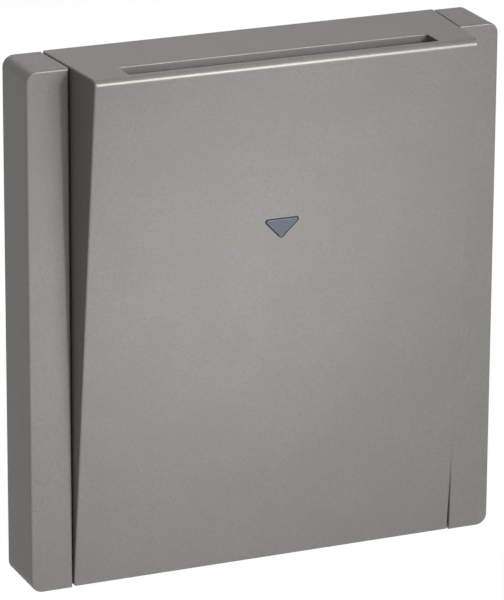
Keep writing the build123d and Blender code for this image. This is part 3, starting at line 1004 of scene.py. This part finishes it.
def join_meshes(name: str, meshes: list[bpy.types.Mesh]) -> Piece:
    """Join meshes into one piece.

    Args:
        name: Name of the piece.
        meshes: Meshes whose places are in their points.

    Returns:
        The piece, in the scene.
    """
    points: list[Vector] = []
    faces: list[tuple[int, ...]] = []
    for mesh in meshes:
        first = len(points)
        points += [vertex.co for vertex in mesh.vertices]
        faces += [tuple(first + i for i in polygon.vertices) for polygon in mesh.polygons]
    return mesh_piece(name, points, faces)


def grow(piece: Piece, growth: Growth, values: dict[str, object]) -> None:
    """Run a geometry tree on a piece and keep the result as a plain mesh.

    Args:
        piece: The piece that the tree works on.
        growth: The growth whose tree is run.
        values: Values of the tree's inputs by their names.
    """
    tree = MADE.tree(growth)
    modifier = piece.modifiers.new(tree.name, "NODES")
    modifier.node_group = tree
    sockets = {s.name: s.identifier for s in tree.interface.items_tree if s.in_out == "INPUT"}
    for label, value in values.items():
        modifier[sockets[label]] = value
    piece.update_tag()
    bpy.context.view_layer.update()
    graph = bpy.context.evaluated_depsgraph_get()
    grown = bpy.data.meshes.new_from_object(
        piece.evaluated_get(graph), preserve_all_data_layers=True, depsgraph=graph
    )
    piece.modifiers.remove(modifier)
    piece.data = grown


def solids_of(node: str) -> list[Corners]:
    """Find the box of each solid in a node whose solids stand in separate quarters.

    Args:
        node: Name of a CAD node that holds one solid, or four round its middle.

    Returns:
        Lowest and highest corner of each solid, in metres.
    """
    low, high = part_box(node)
    middle = (low + high) / 2
    spread = high - low
    lone = max(spread.x, spread.z) < LONE_SPAN
    groups: dict[tuple[bool, bool], list[Vector]] = {}
    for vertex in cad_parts[node].data.vertices:
        key = (True, True) if lone else (vertex.co.x > middle.x, vertex.co.z > middle.z)
        groups.setdefault(key, []).append(vertex.co)
    return [
        (Vector(map(min, zip(*group))), Vector(map(max, zip(*group)))) for _, group in sorted(groups.items())
    ]


class Facing(Enum):
    """Way that a screw's head faces, with the turn that sets it so."""

    BACK = (-math.pi / 2, 0.0, 0.0)
    UP = (0.0, 0.0, 0.0)


@dataclass(frozen=True)
class ScrewSize:
    """Recess and sizes in millimetres of a screw's head and thread."""

    recess: Recess
    head_height: float
    pitch: float
    thread_height: float
    recess_width: float
    recess_depth: float


PLASTIC_SCREW = ScrewSize(
    Recess.CROSS, head_height=1.2, pitch=0.8, thread_height=0.2, recess_width=0.55, recess_depth=0.75
)
TERMINAL_SCREW = ScrewSize(
    Recess.SLOT, head_height=1.4, pitch=0.5, thread_height=0.18, recess_width=0.6, recess_depth=0.7
)


@dataclass(frozen=True)
class Screws:
    """Screws that stand for one node of plain CAD screws, in the same places."""

    node: str
    body: str
    facing: Facing
    size: ScrewSize
    probe: float = 0.2  # millimetres of the shank's free end over which it is measured

    def build(self) -> Piece:
        """Grow the screws on the places that the CAD gives.

        Returns:
            The finished piece.
        """
        boxes = solids_of(self.node)
        level = self.facing is Facing.BACK
        head = self.size.head_height * MM
        places = []
        for low, high in boxes:
            place = (low + high) / 2
            if level:
                place.y = high.y - head
            else:
                place.z = high.z - head
            places.append(place)
        spread = boxes[0][1] - boxes[0][0]
        thread_height = self.size.thread_height * MM
        piece = mesh_piece(f"threaded_{self.node}", places)
        grow(
            piece,
            ScrewThread("threaded_screws"),
            {
                "Core Radius": self.shank_radius(boxes[0], level) - thread_height,
                "Thread Height": thread_height,
                "Shank Length": (spread.y if level else spread.z) - head,
                "Pitch": self.size.pitch * MM,
                "Head Radius": spread.x / 2,
                "Head Height": head,
                "Recess Width": self.size.recess_width * MM,
                "Recess Depth": self.size.recess_depth * MM,
                "Recess Bars": self.size.recess.value,
                "Turn": self.facing.value,
                "Finish": MADE.material(ZINC_STEEL),
            },
        )
        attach(piece, self.body)
        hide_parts(self.node)
        return piece

    def shank_radius(self, box: Corners, level: bool) -> float:
        """Measure the CAD shank at its free end.

        Args:
            box: Lowest and highest corner of one screw.
            level: True for a screw along Y, false for one along Z.

        Returns:
            The shank's radius in metres.
        """
        low, high = box
        near = self.probe * MM
        end = [
            v.co.x
            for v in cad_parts[self.node].data.vertices
            if low.x <= v.co.x <= high.x and (v.co.y - low.y if level else v.co.z - low.z) < near
        ]
        return (max(end) - min(end)) / 2


@dataclass(frozen=True)
class PlungerSpring:
    """Return spring round the plunger's tail, which shortens as the plunger goes in.

    The wire's diameter and the plunger's stroke are in millimetres.
    """

    turns: int = 8
    wire: float = 0.5
    stroke: float = 2.57

    def build(self) -> Piece:
        """Wind the spring into the CAD spring's box.

        Returns:
            The finished piece.
        """
        low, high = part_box("plunger_spring")
        length = high.y - low.y
        wire = self.wire * MM
        piece = mesh_piece("wound_plunger_spring", [Vector()])
        grow(
            piece,
            CoilSpring("closed_end_spring", wire / length, self.turns),
            {
                "Radius": (high.x - low.x - wire) / 2,
                "Wire Radius": wire / 2,
                "Length": length - wire,
                "Turns": float(self.turns),
                "Finish": MADE.material(SPRING_WIRE),
            },
        )
        start = Matrix.Translation(Vector((0, low.y + wire / 2, 0)))
        piece.data.transform(start @ Matrix.Rotation(-math.pi / 2, 4, "X"))
        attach(piece, "wall_unit")
        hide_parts("plunger_spring")
        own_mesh(piece)
        return piece


@dataclass(frozen=True)
class TerminalMarks:
    """Raised letters on the lid that name the terminals by their wires.

    All its sizes are in millimetres.
    """

    letters: tuple[tuple[str, str], ...] = (("line", "L"), ("neutral", "N"), ("load", "1"))
    height: float = 3.0
    font_share: float = 1.4  # the font's size over the height of its capitals
    swell: float = 0.02
    relief: float = 0.25
    sunk: float = 0.1
    below: float = 1.6

    def build(self) -> Piece:
        """Set the letters under their wire entries, to be read from behind.

        Returns:
            The finished piece.
        """
        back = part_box("insert_lid")[1].y
        turn = Matrix(((-1, 0, 0, 0), (0, 0, 1, 0), (0, 1, 0, 0), (0, 0, 0, 1)))
        meshes = []
        for terminal, letter in self.letters:
            low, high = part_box(f"{terminal}_clamp")
            middle = (low.x + high.x) / 2
            depth = back + (self.relief - self.sunk) * MM / 2
            foot = low.z - (self.height + self.below) * MM
            mesh = self.letter_mesh(letter)
            mesh.transform(Matrix.Translation(Vector((middle, depth, foot))) @ turn)
            meshes.append(mesh)
        piece = join_meshes("terminal_marks", meshes)
        piece.data.materials.append(MADE.material(WHITE_UREA))
        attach(piece, "wall_unit")
        return piece

    def letter_mesh(self, letter: str) -> bpy.types.Mesh:
        """Make one letter, flat in X and Y with its foot at the origin.

        Args:
            letter: The letter.

        Returns:
            Its mesh, as thick as it stands out of the lid and lies in it.
        """
        text = bpy.data.curves.new(f"letter_{letter}", "FONT")
        text.body = letter
        text.size = self.height * MM * self.font_share
        text.align_x = "CENTER"
        text.extrude = (self.relief + self.sunk) * MM / 2
        text.offset = self.swell * MM
        carrier = put("letter", text)
        bpy.context.view_layer.update()
        graph = bpy.context.evaluated_depsgraph_get()
        mesh = bpy.data.meshes.new_from_object(carrier.evaluated_get(graph))
        bpy.data.objects.remove(carrier)
        return mesh


@dataclass(frozen=True)
class SubAssembly:
    """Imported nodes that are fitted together, and the finer pieces made for them."""

    def finishes(self) -> dict[str, Finish]:
        """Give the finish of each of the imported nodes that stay."""
        raise NotImplementedError

    def build(self) -> list[Piece]:
        """Make the finer pieces, where there are any."""
        return []

    def dress(self) -> None:
        """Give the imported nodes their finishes."""
        for node, finish in self.finishes().items():
            dress_node(node, finish)


@dataclass(frozen=True)
class Casing(SubAssembly):
    """What is seen on the wall: the frame, the wedge-shaped cover and its lens."""

    skin: Finish = LACQUER
    lens: Finish = LENS

    def finishes(self) -> dict[str, Finish]:
        """Lacquer frame and cover, and tint the lens."""
        return {"outer_frame": self.skin, "front_cover": self.skin, "indicator_lens": self.lens}


@dataclass(frozen=True)
class CardGuide(SubAssembly):
    """Tray that takes the card behind the cover, with its screws and the light guide."""

    tray: Finish = BLACK_PC
    rod: Finish = ACRYLIC
    screw: ScrewSize = PLASTIC_SCREW

    def finishes(self) -> dict[str, Finish]:
        """Make the tray black and the rod clear."""
        return {"card_guide": self.tray, "light_guide": self.rod}

    def build(self) -> list[Piece]:
        """Make the screws that hold the tray to the cover."""
        return [Screws("guide_screws", "wall_unit", Facing.BACK, self.screw).build()]


@dataclass(frozen=True)
class Insert(SubAssembly):
    """Steel plate with the moulded housing behind it, closed by a lid with terminal marks."""

    moulding: Finish = WHITE_UREA
    plate: Finish = ZINC_STEEL
    screw: ScrewSize = PLASTIC_SCREW
    marks: TerminalMarks = TerminalMarks()

    def finishes(self) -> dict[str, Finish]:
        """Plate the steel and its rivets, and make the mouldings white."""
        steel, white = ("support_plate", "plate_rivets"), ("insert_housing", "insert_lid")
        return dict.fromkeys(steel, self.plate) | dict.fromkeys(white, self.moulding)

    def build(self) -> list[Piece]:
        """Make the lid's screws and the marks under its wire entries."""
        screws = Screws("lid_screws", "wall_unit", Facing.BACK, self.screw)
        return [screws.build(), self.marks.build()]


@dataclass(frozen=True)
class Switchgear(SubAssembly):
    """Lever that feels the card, the plunger that it pushes, and the contacts and spring."""

    moulding: Finish = GREY_ACETAL
    pin: Finish = ZINC_STEEL
    bridge: Finish = BRASS
    contacts: Finish = SILVER
    spring: PlungerSpring = PlungerSpring()

    def finishes(self) -> dict[str, Finish]:
        """Give slippery grey mouldings, a plated pin, a brass bridge and silver contacts."""
        return {
            "card_lever": self.moulding,
            "lever_pin": self.pin,
            "plunger": self.moulding,
            "moving_contact": self.bridge,
            "moving_rivets": self.contacts,
            "fixed_rivets": self.contacts,
        }

    def build(self) -> list[Piece]:
        """Wind the return spring."""
        return [self.spring.build()]


@dataclass(frozen=True)
class Terminals(SubAssembly):
    """Brass strips, and for each wire a cage that its screw draws up."""

    wires: tuple[str, ...] = ("line", "neutral", "load")
    strip: Finish = BRASS
    cage: Finish = ZINC_STEEL
    screw: ScrewSize = TERMINAL_SCREW

    def finishes(self) -> dict[str, Finish]:
        """Make the strips brass and plate the cages."""
        strips = {f"{wire}_strip": self.strip for wire in self.wires}
        return strips | {f"{wire}_clamp": self.cage for wire in self.wires}

    def build(self) -> list[Piece]:
        """Make the terminal screws, each on the body that turns with it."""
        return [
            Screws(f"{wire}_screw", f"{wire}_terminal_screw", Facing.UP, self.screw).build()
            for wire in self.wires
        ]


@dataclass(frozen=True)
class Indicator(SubAssembly):
    """Small board with the lamp behind the lens, its dropper resistor and its diode."""

    board: Finish = LAMINATE
    lamp: Finish = EPOXY
    resistor: Finish = RESISTOR
    diode: Finish = DIODE

    def finishes(self) -> dict[str, Finish]:
        """Give a green board, a clear lamp, and bands on resistor and diode."""
        return {
            "led_board": self.board,
            "pilot_led": self.lamp,
            "dropper_resistor": self.resistor,
            "rectifier_diode": self.diode,
        }


def outward(azimuth: float, elevation: float) -> Vector:
    """Give the unit direction from the switch at two angles in degrees.

    Args:
        azimuth: Angle to the right of straight in front of the switch.
        elevation: Angle above level.

    Returns:
        The direction.
    """
    turn, rise = math.radians(azimuth), math.radians(elevation)
    return Vector((math.sin(turn) * math.cos(rise), -math.cos(turn) * math.cos(rise), math.sin(rise)))


class Reach(Enum):
    """What of the object a studio light reaches."""

    ALL = "matt and glossy"
    MATT = "matt"
    GLOSS = "glossy"


@dataclass(frozen=True)
class StudioLight:
    """Studio light at two angles in degrees and a distance in metres from its target."""

    name: str
    azimuth: float
    elevation: float
    distance: float
    power: float

    def hang(self, lamp: bpy.types.Light, target: Vector) -> Piece:
        """Set the lamp's power and hang it so that it faces its target.

        Args:
            lamp: The lamp.
            target: Point that the lamp faces.

        Returns:
            The lamp's object.
        """
        out = outward(self.azimuth, self.elevation)
        lamp.energy = self.power
        holder = put(self.name, lamp)
        holder.location = target + out * self.distance
        holder.rotation_euler = out.to_track_quat("Z", "Y").to_euler()
        return holder


@dataclass(frozen=True)
class Softbox(StudioLight):
    """Studio light with a flat face, whose sides are in metres."""

    wide: float
    high: float
    reach: Reach = Reach.ALL

    def build(self, target: Vector) -> None:
        """Set up the light.

        Args:
            target: Point that the light faces.
        """
        lamp = bpy.data.lights.new(self.name, "AREA")
        lamp.shape = "RECTANGLE"
        lamp.size = self.wide
        lamp.size_y = self.high
        holder = self.hang(lamp, target)
        holder.visible_diffuse = self.reach is not Reach.GLOSS
        holder.visible_glossy = self.reach is not Reach.MATT


@dataclass(frozen=True)
class Spotlight(StudioLight):
    """Spotlight whose pool of light on the object fades out from its middle.

    The pool's middle is given on the wall's plane, by the part's own X and Z.
    """

    middle_mm: tuple[float, float]
    pool_mm: float
    source_mm: float

    def build(self) -> None:
        """Set up the light."""
        lamp = bpy.data.lights.new(self.name, "SPOT")
        lamp.spot_size = 2 * math.atan(self.pool_mm * MM / self.distance)
        lamp.spot_blend = 1.0
        lamp.shadow_soft_size = self.source_mm * MM
        across, up = self.middle_mm
        self.hang(lamp, Vector((across, 0, up)) * MM)


@dataclass(frozen=True)
class Studio:
    """Plain pale floor, white surroundings and soft lights.

    The front light lights only what is matt, and the strip light beside it shows only
    in gloss, so that it draws the line along the cover's upper edge.
    """

    softboxes: tuple[Softbox, ...] = (
        Softbox("front_softbox", 14, 18, distance=0.6, power=2.15, wide=0.4, high=0.25, reach=Reach.MATT),
        Softbox("strip_softbox", 24, 21, distance=0.6, power=1.8, wide=0.24, high=0.28, reach=Reach.GLOSS),
        Softbox("top_softbox", 180, 50, distance=0.8, power=1.5, wide=0.5, high=0.5),
        Softbox("back_softbox", 165, 8, distance=0.8, power=5.0, wide=0.4, high=0.4, reach=Reach.MATT),
    )
    spotlight: Spotlight = Spotlight(
        "soft_edged_spotlight",
        azimuth=15,
        elevation=16,
        distance=0.8,
        power=27.5,
        middle_mm=(-14.0, 6.0),
        pool_mm=46.0,
        source_mm=40.0,
    )
    ambient: float = 0.1
    white: str = "#ffffff"
    paint: str = "#f2f2f2"
    paint_roughness: float = 0.9
    floor_drop_mm: float = 120.0
    floor_half_mm: float = 6000.0
    shadow_share: float = 0.02

    def build(self) -> None:
        """Set up the floor, the world and the lights, with colours shown as written."""
        bpy.context.scene.view_settings.view_transform = "Standard"
        low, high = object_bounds()
        self.floor(low.z - self.floor_drop_mm * MM)
        self.world()
        for light in self.softboxes:
            light.build((low + high) / 2)
        self.spotlight.build()

    def seen_share(self, tree: Tree) -> Socket:
        """Give 1 for rays that show the surroundings and 0 for rays that carry light.

        Args:
            tree: The floor's or the world's node tree.

        Returns:
            The socket that holds the share.
        """
        rays = add(tree, "ShaderNodeLightPath").outputs
        seen = rays["Is Camera Ray"]
        for kind in ("Is Glossy Ray", "Is Transmission Ray"):
            seen = add(tree, "ShaderNodeMath", {"operation": "MAXIMUM"}, {0: seen, 1: rays[kind]}).outputs[0]
        return seen

    def floor(self, level: float) -> None:
        """Lay the floor.

        Args:
            level: Height of the floor in metres.
        """
        half = self.floor_half_mm * MM
        corners = [Vector((x * half, y * half, level)) for x, y in ((-1, -1), (1, -1), (1, 1), (-1, 1))]
        floor = mesh_piece("studio_floor", corners, [(0, 1, 2, 3)])
        floor.data.materials.append(self.floor_material())
        floor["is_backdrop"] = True

    def floor_material(self) -> bpy.types.Material:
        """Make the floor white to the eye, apart from a faint shadow of the object.

        Returns:
            The floor's material.
        """
        material = bpy.data.materials.new("matt_white_floor")
        material.use_nodes = True
        tree = material.node_tree
        paint = tree.nodes["Principled BSDF"]
        paint.inputs["Base Color"].default_value = linear(self.paint)
        paint.inputs["Roughness"].default_value = self.paint_roughness
        paint.inputs["Specular IOR Level"].default_value = 0.0
        glow = add(tree, "ShaderNodeEmission", {"Color": linear(self.white), "Strength": 1.0})
        share = add(
            tree,
            "ShaderNodeMath",
            {"operation": "MULTIPLY", 1: 1 - self.shadow_share},
            {0: self.seen_share(tree)},
        )
        mixed = add(
            tree,
            "ShaderNodeMixShader",
            links={0: share.outputs[0], 1: paint.outputs[0], 2: glow.outputs[0]},
        )
        tree.links.new(mixed.outputs[0], tree.nodes["Material Output"].inputs["Surface"])
        return material

    def world(self) -> None:
        """Make the surroundings white to the eye and to gloss, with a dimmer even light."""
        world = bpy.data.worlds.new("studio_surroundings")
        bpy.context.scene.world = world
        world.use_nodes = True
        tree = world.node_tree
        tree.nodes.clear()
        dim, bright = (
            add(tree, "ShaderNodeBackground", {"Color": linear(self.white), "Strength": strength}).outputs[0]
            for strength in (self.ambient, 1.0)
        )
        mixed = add(tree, "ShaderNodeMixShader", links={0: self.seen_share(tree), 1: dim, 2: bright})
        add(tree, "ShaderNodeOutputWorld", links={0: mixed.outputs[0]})


@dataclass(frozen=True)
class PhotoCamera:
    """Camera where the photographer stood: to the left of the switch and above it.

    Angles are in degrees, and distance, target, lens and sensor in millimetres.
    """

    azimuth: float = -23.251
    elevation: float = 18.571
    roll: float = 0.328
    distance: float = 764.62
    target: tuple[float, float, float] = (2.336, 0.0, -2.509)
    lens: float = 264.963
    sensor: float = 36.0
    nearest: float = 50.0
    farthest: float = 50000.0

    def build(self) -> None:
        """Set up the camera and make it the scene's."""
        back = outward(self.azimuth, self.elevation)
        right = (-back).cross(Vector((0, 0, 1))).normalized()
        up = right.cross(-back)
        lean = math.radians(self.roll)
        tilted_right = right * math.cos(lean) + up * math.sin(lean)
        tilted_up = up * math.cos(lean) - right * math.sin(lean)
        lens = bpy.data.cameras.new("photo_camera")
        lens.lens = self.lens
        lens.sensor_width = self.sensor
        lens.clip_start = self.nearest * MM
        lens.clip_end = self.farthest * MM
        camera = put("photo_camera", lens)
        axes = Matrix((tilted_right, tilted_up, back)).transposed().to_4x4()
        place = (Vector(self.target) + back * self.distance) * MM
        camera.matrix_world = Matrix.Translation(place) @ axes
        bpy.context.scene.camera = camera


def main() -> None:
    """Build and dress the switch, then light it."""
    logging.basicConfig(level=logging.INFO, format="%(message)s")
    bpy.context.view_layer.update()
    PhotoCamera().build()
    for part in (Casing(), CardGuide(), Insert(), Switchgear(), Terminals(), Indicator()):
        part.dress()
        for piece in part.build():
            LOG.info("%s: %d faces", piece.name, len(piece.data.polygons))
    Studio().build()


if __name__ == "__main__":
    main()
